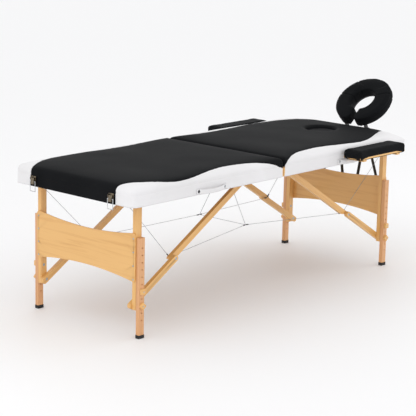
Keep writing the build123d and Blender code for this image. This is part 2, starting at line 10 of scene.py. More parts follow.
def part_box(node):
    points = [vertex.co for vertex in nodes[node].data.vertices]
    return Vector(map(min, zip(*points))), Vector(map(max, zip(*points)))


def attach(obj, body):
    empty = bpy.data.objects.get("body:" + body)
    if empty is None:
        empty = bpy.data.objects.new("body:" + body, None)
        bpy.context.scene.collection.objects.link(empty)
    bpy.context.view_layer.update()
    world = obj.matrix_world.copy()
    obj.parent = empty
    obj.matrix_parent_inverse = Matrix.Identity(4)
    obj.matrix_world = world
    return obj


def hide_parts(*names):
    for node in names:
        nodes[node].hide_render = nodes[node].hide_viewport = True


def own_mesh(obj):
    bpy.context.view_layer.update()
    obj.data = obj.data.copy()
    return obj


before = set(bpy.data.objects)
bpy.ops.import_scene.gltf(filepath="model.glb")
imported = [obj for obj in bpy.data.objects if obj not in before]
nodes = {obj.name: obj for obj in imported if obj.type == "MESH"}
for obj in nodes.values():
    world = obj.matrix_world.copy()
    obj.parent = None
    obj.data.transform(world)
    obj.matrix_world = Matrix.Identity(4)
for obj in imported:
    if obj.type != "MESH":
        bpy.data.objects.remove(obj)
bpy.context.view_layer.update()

# ---- Places read from the frame --------------------------------------------------
fold_low, fold_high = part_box("hinge_pins")
FOLD_X = (fold_low.x + fold_high.x) / 2
cover_low, cover_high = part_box("foot_cushion")
HALF_LENGTH = FOLD_X - cover_low.x
HALF_WIDTH = cover_high.y
UNDERSIDE = cover_low.z
TOP = cover_high.z
FOLD_GAP = FOLD_X - cover_high.x
DECK_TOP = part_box("foot_deck")[1].z
# Beyond this distance from the fold a frame's rail runs across the table.
END_RAIL_DEPTH = 0.023
RAIL_INNER_X = HALF_LENGTH - END_RAIL_DEPTH
plug_low, plug_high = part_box("face_plug")
PLUG_MIDDLE = (plug_low + plug_high) / 2
HOLE_PLAY = 0.001
HOLE_HALF = (plug_high - plug_low) / 2 + Vector((HOLE_PLAY, HOLE_PLAY, 0))

ENDS = {"foot": -1, "head": 1}
SIDES = {"near": -1, "far": 1}
COVER_SHELL = 0.0025
CORNER_RADIUS = 0.032
FOLD_CORNER_RADIUS = 0.012
EDGE_RADIUS = 0.018
CROWN, CROWN_WIDTH = 0.013, 0.05
EDGE_DROP, EDGE_DROP_WIDTH = 0.007, 0.012
CORNER_DROP, CORNER_DROP_WIDTH = {"foot": 0.004, "head": 0.020}, 0.085
UNEVEN_HEIGHT, UNEVEN_SIZE = 0.0016, 0.16
PUCKER_HEIGHT, PUCKER_SIZE, PUCKER_WIDTH = 0.0011, 0.021, 0.016
SEAM_DIP, SEAM_DIP_WIDTH = 0.0025, 0.014
SLACK, SLACK_CHANGE, SLACK_SIZE = 0.0013, 0.0009, 0.07
SIDE_SKIN, HEM_HEIGHT = 0.004, 0.02
ROLL_START, ROLL_WIDTH = 0.026, 0.022
CUSHION_CELLS = (150, 114, 15)
PIPING_RISE = 0.004


# ---- Shader helpers -----------------------------------------------------------------
def srgb(red, green, blue):
    """A colour given as it shows on a screen, 0 to 255, in linear light."""
    parts = [c / 255 for c in (red, green, blue)]
    linear = [c / 12.92 if c < 0.04045 else ((c + 0.055) / 1.055) ** 2.4 for c in parts]
    return (*linear, 1.0)


def add(tree, kind, inputs=None, **settings):
    """A shader node with its settings, and its inputs set or linked."""
    node = tree.nodes.new("ShaderNode" + kind)
    for key, value in settings.items():
        setattr(node, key, value)
    for key, value in (inputs or {}).items():
        if isinstance(value, bpy.types.NodeSocket):
            tree.links.new(value, node.inputs[key])
        else:
            node.inputs[key].default_value = value
    return node


def surface(name, roughness, metallic=0.0, **sockets):
    """A material with its uniform values set on the shader."""
    material = bpy.data.materials.new(name)
    material.use_nodes = True
    shader = material.node_tree.nodes["Principled BSDF"]
    shader.inputs["Roughness"].default_value = roughness
    shader.inputs["Metallic"].default_value = metallic
    for key, value in sockets.items():
        shader.inputs[key.replace("_", " ")].default_value = value
    return material, material.node_tree, shader


def ramp(tree, factor, stops):
    """A colour ramp through (place, colour) stops."""
    node = add(tree, "ValToRGB", {"Fac": factor})
    elements = node.color_ramp.elements
    while len(elements) < len(stops):
        elements.new(0.5)
    for element, (place, colour) in zip(elements, stops):
        element.position = place
        element.color = colour
    return node.outputs["Color"]


def bump(tree, shader, height, strength, distance):
    """Shades the surface as if raised by height, over a distance in metres."""
    node = add(tree, "Bump", {"Height": height, "Strength": strength, "Distance": distance})
    tree.links.new(node.outputs["Normal"], shader.inputs["Normal"])


def placed(tree, size, turn=(0, 0, 0)):
    """Rest-frame coordinates divided by a size along each of the turned axes."""
    place = add(tree, "TexCoord").outputs["Object"]
    return add(tree, "Mapping", {"Vector": place, "Rotation": turn, "Scale": size},
               vector_type="TEXTURE").outputs["Vector"]


def either(tree, choice, first, second):
    """The first vector where choice is 0, and the second where it is 1."""
    node = tree.nodes.new("ShaderNodeMix")
    node.data_type = "VECTOR"
    tree.links.new(choice, node.inputs["Factor"])
    tree.links.new(first, node.inputs["A"])
    tree.links.new(second, node.inputs["B"])
    return [o for o in node.outputs if o.type == "VECTOR"][0]


# ---- Materials ----------------------------------------------------------------------
ALONG_X = (0, 0, 0)
ALONG_Y = (0, 0, math.radians(90))
ALONG_Z = (0, math.radians(90), 0)


def wood(name, turn, light, dark, end_board=False, streak=0.010):
    """Varnished wood with its grain along the turned X axis."""
    material, tree, shader = surface(name, 0.38, Coat_Weight=0.35, Coat_Roughness=0.18)
    wide, fine = (0.42, streak, streak), (0.045, 0.0011, 0.0011)
    figure_at, pores_at = placed(tree, wide, turn), placed(tree, fine, turn)
    if end_board:
        place = add(tree, "TexCoord").outputs["Object"]
        x = add(tree, "SeparateXYZ", {"Vector": place}).outputs["X"]
        away = add(tree, "Math", {0: x, 1: FOLD_X}, operation="SUBTRACT").outputs[0]
        away = add(tree, "Math", {0: away}, operation="ABSOLUTE").outputs[0]
        beyond = add(tree, "Math", {0: away, 1: RAIL_INNER_X}, operation="GREATER_THAN").outputs[0]
        figure_at = either(tree, beyond, figure_at, placed(tree, wide, ALONG_Y))
        pores_at = either(tree, beyond, pores_at, placed(tree, fine, ALONG_Y))
    figure = add(tree, "TexNoise", {"Vector": figure_at, "Scale": 1.0, "Detail": 5.0,
                                    "Roughness": 0.55, "Distortion": 0.9}).outputs["Fac"]
    pores = add(tree, "TexNoise", {"Vector": pores_at, "Scale": 1.0, "Detail": 3.0}).outputs["Fac"]
    broad = add(tree, "TexNoise", {"Vector": placed(tree, (0.5, 0.09, 0.09), turn), "Scale": 1.0,
                                   "Detail": 1.0}).outputs["Fac"]
    mixed = add(tree, "Math", {0: pores, 1: 0.22, 2: figure}, operation="MULTIPLY_ADD").outputs[0]
    mixed = add(tree, "Math", {0: broad, 1: 0.30, 2: mixed}, operation="MULTIPLY_ADD").outputs[0]
    middle = tuple((a + b) / 2 for a, b in zip(light, dark))
    base = ramp(tree, mixed, [(0.46, dark), (0.62, middle), (0.78, light), (0.95, light)])
    tree.links.new(base, shader.inputs["Base Color"])
    rough = add(tree, "MapRange", {"Value": figure, "To Min": 0.30, "To Max": 0.50})
    tree.links.new(rough.outputs["Result"], shader.inputs["Roughness"])
    bump(tree, shader, pores, 0.35, 0.0004)
    return material


def vinyl(name, light, dark, roughness, specular):
    """Upholstery vinyl with a fine leather grain and faint unevenness."""
    material, tree, shader = surface(name, roughness)
    shader.inputs["Specular IOR Level"].default_value = specular
    cells = add(tree, "TexVoronoi", {"Vector": placed(tree, (1, 1, 1)), "Scale": 620.0},
                feature="DISTANCE_TO_EDGE").outputs["Distance"]
    soft = add(tree, "TexNoise", {"Vector": placed(tree, (1, 1, 1)), "Scale": 260.0, "Detail": 3.0})
    cloud = add(tree, "TexNoise", {"Vector": placed(tree, (0.22, 0.22, 0.22)), "Scale": 1.0,
                                   "Detail": 4.0}).outputs["Fac"]
    tree.links.new(ramp(tree, cloud, [(0.3, dark), (0.7, light)]), shader.inputs["Base Color"])
    rough = add(tree, "MapRange", {"Value": cloud, "To Min": roughness - 0.06,
                                   "To Max": roughness + 0.08})
    tree.links.new(rough.outputs["Result"], shader.inputs["Roughness"])
    height = add(tree, "Math", {0: cells, 1: 0.6, 2: soft.outputs["Fac"]}, operation="MULTIPLY_ADD")
    bump(tree, shader, height.outputs[0], 0.22, 0.0003)
    return material


def webbing(name, light, dark):
    """Woven strap with a fine diagonal rib."""
    material, tree, shader = surface(name, 0.85, Sheen_Weight=0.25, Sheen_Roughness=0.5)
    at = placed(tree, (1, 1, 1), (math.radians(45), 0, math.radians(45)))
    rib = add(tree, "TexWave", {"Vector": at, "Scale": 190.0, "Distortion": 0.6}).outputs["Fac"]
    cross = add(tree, "TexWave", {"Vector": at, "Scale": 150.0, "Distortion": 0.6},
                bands_direction="Y").outputs["Fac"]
    weave = add(tree, "Math", {0: rib, 1: cross}, operation="MULTIPLY").outputs[0]
    tree.links.new(ramp(tree, weave, [(0.1, dark), (0.8, light)]), shader.inputs["Base Color"])
    bump(tree, shader, weave, 0.5, 0.0005)
    return material


def metal(name, light, dark, roughness, brushed=(1, 1, 1)):
    """Metal with fine brushing, tarnish and small changes of gloss."""
    material, tree, shader = surface(name, roughness, 1.0)
    lines = add(tree, "TexNoise", {"Vector": placed(tree, brushed), "Scale": 380.0, "Detail": 3.0})
    patch = add(tree, "TexNoise", {"Vector": placed(tree, (1, 1, 1)), "Scale": 40.0, "Detail": 4.0})
    tree.links.new(ramp(tree, patch.outputs["Fac"], [(0.35, dark), (0.65, light)]),
                   shader.inputs["Base Color"])
    rough = add(tree, "MapRange", {"Value": lines.outputs["Fac"], "To Min": roughness - 0.1,
                                   "To Max": roughness + 0.12})
    tree.links.new(rough.outputs["Result"], shader.inputs["Roughness"])
    bump(tree, shader, lines.outputs["Fac"], 0.15, 0.0002)
    return material


def moulded(name, light, dark, roughness, grain=900.0):
    """Moulded plastic or rubber with a fine spark-eroded grain."""
    material, tree, shader = surface(name, roughness)
    speck = add(tree, "TexNoise", {"Vector": placed(tree, (1, 1, 1)), "Scale": grain, "Detail": 2.0})
    cloud = add(tree, "TexNoise", {"Vector": placed(tree, (1, 1, 1)), "Scale": 30.0, "Detail": 3.0})
    tree.links.new(ramp(tree, cloud.outputs["Fac"], [(0.3, dark), (0.7, light)]),
                   shader.inputs["Base Color"])
    bump(tree, shader, speck.outputs["Fac"], 0.3, 0.0003)
    return material


HONEY, AMBER = srgb(233, 183, 112), srgb(216, 159, 88)
PINK_TAN, PINK_DARK = srgb(224, 168, 116), srgb(192, 132, 84)
BRACE_ANGLE = math.radians(31.04)
pine_rails = wood("pine_rails", ALONG_X, HONEY, AMBER, end_board=True)
pine_legs = wood("pine_legs", ALONG_Z, HONEY, AMBER)
pine_feet = wood("pine_feet", ALONG_Z, PINK_TAN, PINK_DARK, streak=0.006)
pine_boards = wood("pine_boards", ALONG_X, HONEY, AMBER)
pine_knobs = wood("pine_knobs", ALONG_X, HONEY, AMBER)
panel_ply = wood("panel_ply", ALONG_Y, HONEY, AMBER, streak=0.016)
brace_wood = {"foot": wood("foot_brace_wood", (0, -BRACE_ANGLE, 0), HONEY, AMBER),
              "head": wood("head_brace_wood", (0, BRACE_ANGLE, 0), HONEY, AMBER)}
deck_board = wood("deck_board", ALONG_X, srgb(150, 112, 78), srgb(112, 80, 54))
black_vinyl = vinyl("black_vinyl", srgb(24, 25, 27), srgb(17, 18, 20), 0.60, 0.04)
white_vinyl = vinyl("white_vinyl", srgb(236, 235, 237), srgb(228, 227, 228), 0.42, 0.35)
black_webbing = webbing("black_webbing", srgb(58, 58, 60), srgb(24, 24, 26))
zinc_steel = metal("zinc_steel", srgb(196, 198, 200), srgb(160, 162, 166), 0.34)
bright_wire = metal("bright_wire", srgb(216, 218, 220), srgb(188, 190, 194), 0.28)
bronze_steel = metal("bronze_steel", srgb(150, 138, 118), srgb(84, 76, 66), 0.36)
wire_rope = metal("wire_rope", srgb(190, 192, 196), srgb(146, 149, 154), 0.40, (1, 1, 0.1))
dark_sleeve = metal("dark_sleeve", srgb(70, 70, 74), srgb(44, 44, 48), 0.5)
black_coat = moulded("black_coat", srgb(38, 38, 40), srgb(26, 26, 28), 0.48)
black_plastic = moulded("black_plastic", srgb(46, 46, 48), srgb(32, 32, 34), 0.45)
black_rubber = moulded("black_rubber", srgb(44, 44, 45), srgb(28, 28, 29), 0.78, 500.0)


def finish_node(name, material, bevel=0.0):
    """A CAD node's finish, with its sharp edges eased where it is wood."""
    node = nodes[name]
    node.data.materials.clear()
    node.data.materials.append(material)
    if bevel:
        node.modifiers.new("weld", "WELD").merge_threshold = 0.00002
        ease = node.modifiers.new("ease", "BEVEL")
        ease.width = bevel
        ease.segments = 2
        ease.limit_method = "ANGLE"
        ease.angle_limit = math.radians(50)


for end in ENDS:
    finish_node(f"{end}_frame", pine_rails, 0.0009)
    finish_node(f"{end}_deck", deck_board)
    finish_node(f"{end}_pivot_brackets", zinc_steel)
    finish_node(f"{end}_pivot_pins", zinc_steel)
    finish_node(f"{end}_hinge_leaves", zinc_steel)
    finish_node(f"{end}_upper_legs", pine_legs, 0.0012)
    finish_node(f"{end}_end_panel", panel_ply, 0.0006)
    finish_node(f"{end}_panel_screws", zinc_steel)
    finish_node(f"{end}_leg_bolts", zinc_steel)
    finish_node(f"{end}_lower_braces", brace_wood[end], 0.001)
    finish_node(f"{end}_upper_braces", brace_wood[end], 0.001)
    finish_node(f"{end}_knee_bolts", zinc_steel)
    for side in SIDES:
        finish_node(f"{end}_{side}_lower_leg", pine_feet, 0.0012)
        finish_node(f"{end}_{side}_rubber_foot", black_rubber)
        finish_node(f"{end}_{side}_upper_knob", pine_knobs, 0.0015)
        finish_node(f"{end}_{side}_lower_knob", pine_knobs, 0.0015)
for side in SIDES:
    finish_node(f"{side}_armrest_board", pine_boards, 0.0008)
finish_node("hinge_pins", zinc_steel)
finish_node("latch_bases", bronze_steel)
finish_node("latch_levers", bronze_steel)
finish_node("latch_bails", bright_wire)
finish_node("latch_keepers", bronze_steel)
finish_node("headrest_frame", black_coat)
finish_node("headrest_platform", black_coat, 0.0008)
finish_node("headrest_cam_lever", black_plastic)


# ---- Mesh helpers ---------------------------------------------------------------------
def new_piece(name, points, faces, *materials):
    """A smooth-shaded mesh object."""
    mesh = bpy.data.meshes.new(name)
    mesh.from_pydata([tuple(p) for p in points], [], [tuple(f) for f in faces])
    for material in materials:
        mesh.materials.append(material)
    piece = bpy.data.objects.new(name, mesh)
    bpy.context.scene.collection.objects.link(piece)
    mesh.shade_smooth()
    return piece


def applied(piece):
    """The piece with its modifiers made part of its mesh."""
    bpy.context.view_layer.update()
    graph = bpy.context.evaluated_depsgraph_get()
    mesh = bpy.data.meshes.new_from_object(piece.evaluated_get(graph))
    piece.modifiers.clear()
    piece.data = mesh
    mesh.shade_smooth()
    return piece


def points_of(mesh):
    """The mesh's vertices as rows of x, y and z."""
    flat = np.zeros(len(mesh.vertices) * 3)
    mesh.vertices.foreach_get("co", flat)
    return flat.reshape(-1, 3)


def normals_of(mesh):
    """The mesh's outward direction at each vertex."""
    flat = np.zeros(len(mesh.vertices) * 3)
    mesh.vertices.foreach_get("normal", flat)
    return flat.reshape(-1, 3)


def move_points(mesh, points):
    """Gives the mesh's vertices new places."""
    mesh.vertices.foreach_set("co", points.ravel())
    mesh.update()


def tube_faces(rings, steps):
    """Faces of a closed tube of rings with the same number of points, with its two ends shut."""
    faces = []
    for row in range(rings - 1):
        for i in range(steps):
            j = (i + 1) % steps
            faces.append((row * steps + i, row * steps + j, (row + 1) * steps + j, (row + 1) * steps + i))
    faces.append(list(range(steps))[::-1])
    faces.append([(rings - 1) * steps + i for i in range(steps)])
    return faces


def crosswise(axis):
    """Two unit vectors square to an axis and to each other."""
    side = axis.orthogonal().normalized()
    return side, axis.cross(side)


LINE_TOLERANCE = 0.0004


def split_at(form, level):
    """Gives a bmesh an edge line wherever level(points) is zero."""
    form.verts.ensure_lookup_table()
    form.verts.index_update()
    values = level(np.array([v.co for v in form.verts]))
    values[abs(values) < LINE_TOLERANCE] = 0.0
    on_line = [v for v in form.verts if values[v.index] == 0]
    for edge in list(form.edges):
        start, finish = edge.verts
        a, b = values[start.index], values[finish.index]
        if a * b < 0:
            on_line.append(bmesh.utils.edge_split(edge, start, a / (a - b))[1])
            on_line[-1].index = -1
    bmesh.ops.connect_verts(form, verts=on_line)


def sew(piece, level, half_width, depth, split=True):
    """Presses a sewn channel into a piece along the line where level(points) is zero."""
    if split:
        form = bmesh.new()
        form.from_mesh(piece.data)
        for offset in (-half_width, 0.0, half_width):
            split_at(form, lambda points: level(points) - offset)
            form.normal_update()
        form.to_mesh(piece.data)
        form.free()
        piece.data.update()
    points = points_of(piece.data)
    share = np.clip(1 - abs(level(points)) / half_width, 0, 1)
    move_points(piece.data, points - normals_of(piece.data) * (depth * share ** 0.7)[:, None])


def smooth_curve(stops):
    """A smooth curve through a few (place, value) stops, as dense samples."""
    places, values = zip(*stops)
    dense = np.linspace(places[0], places[-1], 400)
    reach = 22
    line = np.interp(dense, places, values)
    padded_line = np.pad(line, reach, mode="reflect", reflect_type="odd")
    window = np.hanning(2 * reach + 1)
    return dense, np.convolve(padded_line, window / window.sum(), mode="valid")


# ---- Table cushions --------------------------------------------------------------------
# Where the black top meets the white sides: (distance from the fold, distance from the middle).
SEAM = {
    "foot": smooth_curve([(0, 0.392), (0.05, 0.374), (0.10, 0.352), (0.17, 0.326), (0.27, 0.304),
                          (0.37, 0.302), (0.50, 0.324), (0.60, 0.345), (0.67, 0.350),
                          (0.75, 0.330), (0.83, 0.297), (0.90, 0.258), (0.96, 0.240)]),
    "head": smooth_curve([(0, 0.388), (0.03, 0.352), (0.07, 0.326), (0.14, 0.304), (0.27, 0.290),
                          (0.36, 0.297), (0.46, 0.314), (0.57, 0.327), (0.65, 0.318),
                          (0.72, 0.294), (0.80, 0.260), (0.88, 0.225), (0.96, 0.203)]),
}


def seam_side(end, points):
    """How far points lie outside the black panel's edge, measured along the cover."""
    away = abs(points[:, 0] - FOLD_X)
    across = abs(points[:, 1])
    over = np.clip((across - HALF_WIDTH + ROLL_START) / ROLL_WIDTH, 0, 1)
    over = over * over * (3 - 2 * over)
    return across + over * np.maximum(0, TOP - points[:, 2]) - np.interp(away, *SEAM[end])


def lattice(counts):
    """The top and the four sides of a box as whole-number points, its quads and its outline."""
    across_x, across_y, high = counts
    index = {}

    def at(i, j, k):
        return index.setdefault((i, j, k), len(index))

    faces = [(at(i, j, high), at(i + 1, j, high), at(i + 1, j + 1, high), at(i, j + 1, high))
             for i in range(across_x) for j in range(across_y)]
    ring = [(i, 0) for i in range(across_x)] + [(across_x, j) for j in range(across_y)]
    ring += [(i, across_y) for i in range(across_x, 0, -1)] + [(0, j) for j in range(across_y, 0, -1)]
    for a, b in zip(ring, ring[1:] + ring[:1]):
        faces += [(at(*a, k), at(*b, k), at(*b, k + 1), at(*a, k + 1)) for k in range(high)]
    return np.array(list(index)), faces, [index[(*a, 0)] for a in ring]


def rounded_box(cells, counts, low, high, corner, edge):
    """Lattice points laid on a box with round corners in plan and a round top edge.

    Also gives each point's depth inside the outline and the outline's outward direction there.
    """
    middle, half = (low + high) / 2, (high - low) / 2
    place = low + (high - low) * cells / np.array(counts)
    flat, height = place[:, :2] - middle[:2], place[:, 2].copy()
    sign = np.where(flat < 0, -1.0, 1.0)
    radius = corner(flat[:, 0])
    inner = half[:2] - radius[:, None]
    reach = np.maximum(abs(flat) - inner, 0)
    both = (reach > 0).all(1)
    longest = reach.max(1)
    length = np.maximum(np.linalg.norm(reach, axis=1), 1e-9)
    round_reach = np.where(both[:, None], reach / length[:, None] * longest[:, None], reach)
    flat = np.where(both[:, None], sign * (inner + round_reach), flat)
    gap = half[:2] - abs(flat)
    nearest = gap.argmin(1)
    depth = np.where(both, radius - longest, gap.min(1))
    outward = np.zeros_like(flat)
    outward[np.arange(len(flat)), nearest] = sign[np.arange(len(flat)), nearest]
    outward[both] = (sign * round_reach / np.maximum(longest, 1e-9)[:, None])[both]
    quarter = math.pi / 4
    on_top = cells[:, 2] == counts[2]
    climb = np.clip((height - (high[2] - edge)) / edge, 0, 1)
    angle = np.where(on_top, quarter + quarter * np.clip(depth / edge, 0, 1), quarter * climb)
    rolled = np.where(on_top, depth < edge, climb > 0)
    inset = edge * (1 - np.cos(angle))
    flat = np.where(rolled[:, None], flat + outward * (depth - inset)[:, None], flat)
    height = np.where(rolled, high[2] - edge + edge * np.sin(angle), height)
    depth = np.where(rolled, inset, depth)
    return np.column_stack([flat + middle[:2], height]), depth, outward


def waves(points, size, seed):
    """Smooth noise between about -1 and 1 with features of the given size."""
    shift = Vector((seed * 7.3, seed * 3.1, seed * 1.7))
    return np.array([noise.noise(Vector(p) / size + shift) for p in points])


def table_cushion(end):
    """One padded half of the top with its cover, which wraps down over the rails."""
    outer_x = FOLD_X + ENDS[end] * HALF_LENGTH
    fold_x = FOLD_X + ENDS[end] * FOLD_GAP
    low = np.array([min(outer_x, fold_x), -HALF_WIDTH, UNDERSIDE])
    high = np.array([max(outer_x, fold_x), HALF_WIDTH, TOP])
    cells, faces, ring = lattice(CUSHION_CELLS)

    def corner(flat_x):
        return np.where(flat_x * ENDS[end] > 0, CORNER_RADIUS, FOLD_CORNER_RADIUS)

    points, depth, outward = rounded_box(cells, CUSHION_CELLS, low, high, corner, EDGE_RADIUS)
    # The foam crowns in the middle, and its edges are the lowest part of the top.
    lift = CROWN * (1 - np.exp(-depth / CROWN_WIDTH)) - EDGE_DROP * np.exp(-depth / EDGE_DROP_WIDTH)
    upper = np.clip((points[:, 2] - DECK_TOP) / (TOP - DECK_TOP), 0, 1)
    to_corner = np.hypot(HALF_LENGTH - abs(points[:, 0] - FOLD_X), HALF_WIDTH - abs(points[:, 1]))
    lift -= CORNER_DROP[end] * np.exp(-(to_corner / CORNER_DROP_WIDTH) ** 2)
    uneven = UNEVEN_HEIGHT * waves(points, UNEVEN_SIZE, 1 + ENDS[end])
    lift += uneven * np.clip(depth / CROWN_WIDTH, 0, 1)
    from_seam = seam_side(end, points)
    pucker = waves(points, PUCKER_SIZE, 3) * np.exp(-abs(from_seam) / PUCKER_WIDTH)
    lift += PUCKER_HEIGHT * pucker - SEAM_DIP * np.exp(-abs(from_seam) / SEAM_DIP_WIDTH)
    points[:, 2] += lift * upper ** 2
    # The sides hang a little uneven and pull in between the corners.
    above_hem = np.clip((points[:, 2] - UNDERSIDE) / HEM_HEIGHT, 0, 1)
    slack = (SLACK + SLACK_CHANGE * waves(points, SLACK_SIZE, 5)) * (depth < SIDE_SKIN) * above_hem
    points[:, :2] -= outward * slack[:, None]
    # Inner wall and flat underside, which rest on the rails and the deck.
    rim = [points[i] for i in ring]
    inner = [np.append(points[i][:2] - outward[i] * COVER_SHELL, UNDERSIDE) for i in ring]
    seat = [np.append(p[:2], DECK_TOP + 0.0002) for p in inner]
    count, total = len(ring), len(points)
    for a in range(count):
        b = (a + 1) % count
        faces.append((ring[b], ring[a], total + a, total + b))
        faces.append((total + b, total + a, total + count + a, total + count + b))
    faces.append([total + count + a for a in range(count)][::-1])
    everything = np.vstack([points, inner, seat])
    return new_piece(f"{end}_top_cushion", everything, faces, black_vinyl, white_vinyl)


HOLE_STEPS = 96
HOLE_REFINED = 0.014
RIM_DROP, RIM_WIDTH = 0.007, 0.006
RIM_DIP, RIM_DIP_WIDTH = 0.003, 0.02
PAD_FACE_Z = DECK_TOP + 0.01
CUTTER_BELOW, CUTTER_ABOVE = 0.02, 0.06


def oval_distance(points):
    """Roughly how far points lie outside the face hole."""
    along = (points[:, 0] - PLUG_MIDDLE.x) / HOLE_HALF.x
    across = (points[:, 1] - PLUG_MIDDLE.y) / HOLE_HALF.y
    return (np.hypot(along, across) - 1) * min(HOLE_HALF.x, HOLE_HALF.y)


def cut_face_hole(piece):
    """Opens the oval face hole, with its rim rolled in."""
    form = bmesh.new()
    form.from_mesh(piece.data)
    for _ in range(2):
        middles = np.array([(e.verts[0].co + e.verts[1].co) / 2 for e in form.edges])
        close = (abs(oval_distance(middles)) < HOLE_REFINED) & (middles[:, 2] > PAD_FACE_Z)
        picked = [e for e, use in zip(form.edges, close) if use]
        bmesh.ops.subdivide_edges(form, edges=picked, cuts=1, use_grid_fill=True)
    bmesh.ops.triangulate(form, faces=[f for f in form.faces if len(f.verts) > 4])
    form.to_mesh(piece.data)
    form.free()
    points = points_of(piece.data)
    away = np.maximum(oval_distance(points), 0)
    sink = RIM_DROP * np.exp(-(away / RIM_WIDTH) ** 1.3) + RIM_DIP * np.exp(-away / RIM_DIP_WIDTH)
    points[:, 2] -= np.where(points[:, 2] > PAD_FACE_Z, sink, 0)
    move_points(piece.data, points)
    angles = [2 * math.pi * i / HOLE_STEPS for i in range(HOLE_STEPS)]
    ring = [(PLUG_MIDDLE.x + HOLE_HALF.x * math.cos(a), PLUG_MIDDLE.y + HOLE_HALF.y * math.sin(a))
            for a in angles]
    walls = [(*p, z) for z in (UNDERSIDE - CUTTER_BELOW, TOP + CUTTER_ABOVE) for p in ring]
    cutter = new_piece("cutter", walls, tube_faces(2, HOLE_STEPS))
    hole = piece.modifiers.new("hole", "BOOLEAN")
    hole.object = cutter
    hole.solver = "EXACT"
    applied(piece)
    bpy.data.objects.remove(cutter)


for end in ENDS:
    cushion = table_cushion(end)
    if end == "head":
        cut_face_hole(cushion)
    # The piped line where the pad ends and the wrapped cover begins, on every outer side.
    sew(cushion, lambda p: p[:, 2] - DECK_TOP - PIPING_RISE, half_width=0.0020, depth=0.0009)
    sew(cushion, lambda p, end=end: seam_side(end, p), half_width=0.0026, depth=0.0021)
    middles = np.array([f.center for f in cushion.data.polygons])
    white = (seam_side(end, middles) > 0).astype(int)
    cushion.data.polygons.foreach_set("material_index", white)
    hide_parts(f"{end}_cushion")
    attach(cushion, f"{end}_section")


# ---- Inflated pads -----------------------------------------------------------------------
CLOTH_FRAMES, CLOTH_PRESSURE, CLOTH_QUALITY = 20, 4, 4
BOTTOM_BAND, MERGE_DISTANCE = 0.0005, 0.00003


def inflated(name, source, voxel, inset, cap, material, wrap=0.0):
    """A padded copy of a CAD solid, drawn in by inset and blown up again by at most cap.

    wrap is how far its bottom edge is carried down, over what it rests on.
    """
    piece = new_piece(name, [], [], material)
    form = bmesh.new()
    form.from_mesh(nodes[source].data)
    bmesh.ops.remove_doubles(form, verts=form.verts, dist=MERGE_DISTANCE)
    bottom = min(v.co.z for v in form.verts)
    for v in form.verts:
        v.co.z -= wrap * (v.co.z < bottom + BOTTOM_BAND)
    form.to_mesh(piece.data)
    form.free()
    remesh = piece.modifiers.new("remesh", "REMESH")
    remesh.mode = "VOXEL"
    remesh.voxel_size = voxel
    soften = piece.modifiers.new("soften", "SMOOTH")
    soften.iterations = 4
    applied(piece)
    points = points_of(piece.data)
    move_points(piece.data, points - normals_of(piece.data) * inset)
    start = points_of(piece.data)
    cloth = piece.modifiers.new("inflate", "CLOTH")
    cloth.settings.quality = CLOTH_QUALITY
    cloth.settings.use_pressure = True
    cloth.settings.uniform_pressure_force = CLOTH_PRESSURE
    cloth.settings.effector_weights.gravity = 0
    cloth.point_cache.frame_end = CLOTH_FRAMES
    for step in range(1, CLOTH_FRAMES + 1):
        bpy.context.scene.frame_set(step)
    graph = bpy.context.evaluated_depsgraph_get()
    blown = bpy.data.meshes.new_from_object(piece.evaluated_get(graph))
    moved = points_of(blown) - start
    length = np.maximum(np.linalg.norm(moved, axis=1), 1e-9)
    piece.modifiers.clear()
    move_points(piece.data, start + moved * np.minimum(1, cap / length)[:, None])
    bpy.context.scene.frame_set(1)
    piece.modifiers.new("finer", "SUBSURF").render_levels = 1
    piece.modifiers["finer"].levels = 1
    applied(piece)
    if not piece.data.materials:
        piece.data.materials.append(material)
    return piece


REST_MIDDLE = np.array([FOLD_X + 1.050, 0.0, 0.736])
REST_TILT = math.radians(40)
REST_ALONG = np.array([math.cos(REST_TILT), 0, math.sin(REST_TILT)])
REST_UP = np.array([-math.sin(REST_TILT), 0, math.cos(REST_TILT)])
REST_RADIUS = 0.150


def rest_places(points):
    """Points in the headrest's own plane: along its slope, across it and out of it."""
    away = points - REST_MIDDLE
    return away @ REST_ALONG, away[:, 1], away @ REST_UP


def radial_seam(turn):
    """Distance across a seam that runs out from the headrest's middle at an angle."""
    angle = math.radians(turn)

    def level(points):
        along, across, _ = rest_places(points)
        outward = along * math.cos(angle) + across * math.sin(angle)
        sideways = -along * math.sin(angle) + across * math.cos(angle)
        return np.where(outward > 0, sideways, 1.0)
    return level


def band_seam(height):
    """Distance from the seam round the headrest's outer side."""
    def level(points):
        along, across, up = rest_places(points)
        return np.where(np.hypot(along, across) > REST_RADIUS - 0.03, up - height, 1.0)
    return level


headrest = inflated("headrest_pad", "headrest_cushion", voxel=0.0045, inset=0.004, cap=0.006,
                    material=black_vinyl)
for turn in (84, 40, -66):
    sew(headrest, radial_seam(turn), half_width=0.005, depth=0.0030, split=False)
for height in (0.013, -0.020):
    sew(headrest, band_seam(height), half_width=0.004, depth=0.0020, split=False)
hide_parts("headrest_cushion")
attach(headrest, "headrest_top")

plug = inflated("face_hole_plug", "face_plug", voxel=0.004, inset=0.0015, cap=0.002,
                material=black_vinyl)
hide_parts("face_plug")
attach(plug, "face_plug")

